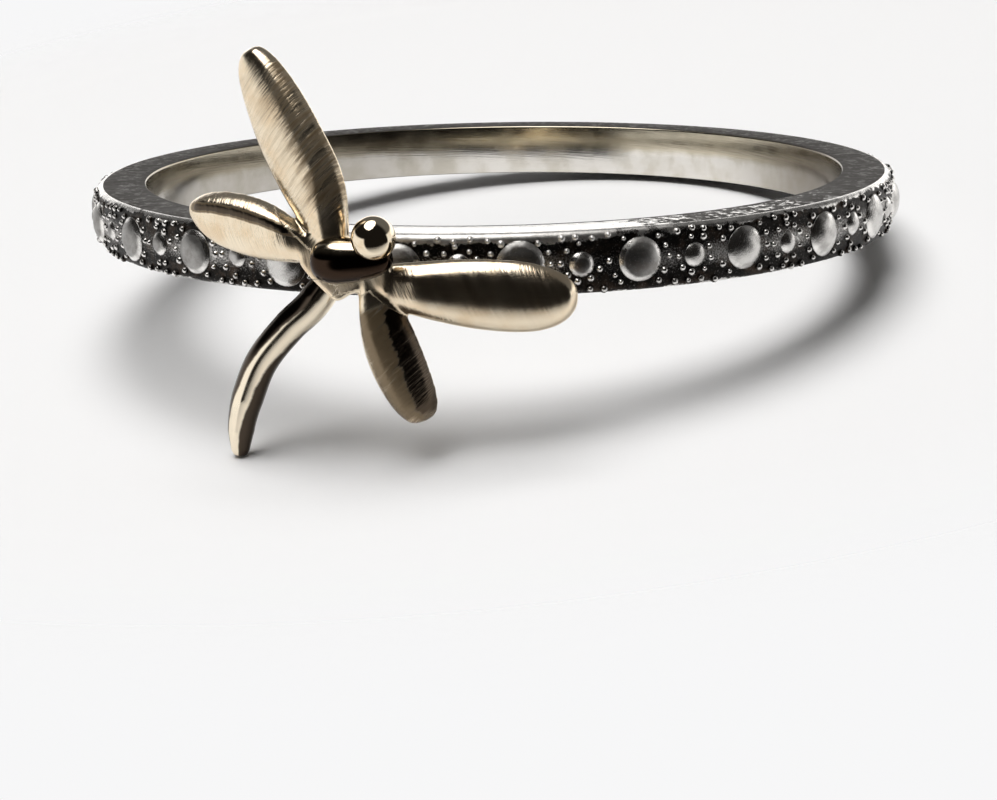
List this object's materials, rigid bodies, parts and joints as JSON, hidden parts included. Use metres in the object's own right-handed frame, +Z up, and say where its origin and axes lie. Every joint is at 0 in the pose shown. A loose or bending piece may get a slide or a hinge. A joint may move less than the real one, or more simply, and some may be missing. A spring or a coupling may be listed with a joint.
{
  "type": "stackable ring",
  "caption": "Slim round finger ring for stacking, its darkened silver band patterned with raised bubbles, with a bronze dragonfly soldered to the front.",
  "frame": {"origin": "centre of the bounding box, on the surface that the ring lies on", "axes": "+Z up from the surface it lies on; the dragonfly faces -Y, its right-hand fore wing runs towards +X"},
  "size_m": [0.02, 0.0212, 0.0087],
  "materials": {
    "silver": "darkened silver with worn bright high spots",
    "bronze": "satin brushed wings, polished head and body"
  },
  "bodies": {
    "root": {"band": "silver", "dragonfly": "bronze"}
  },
  "joints": []
}
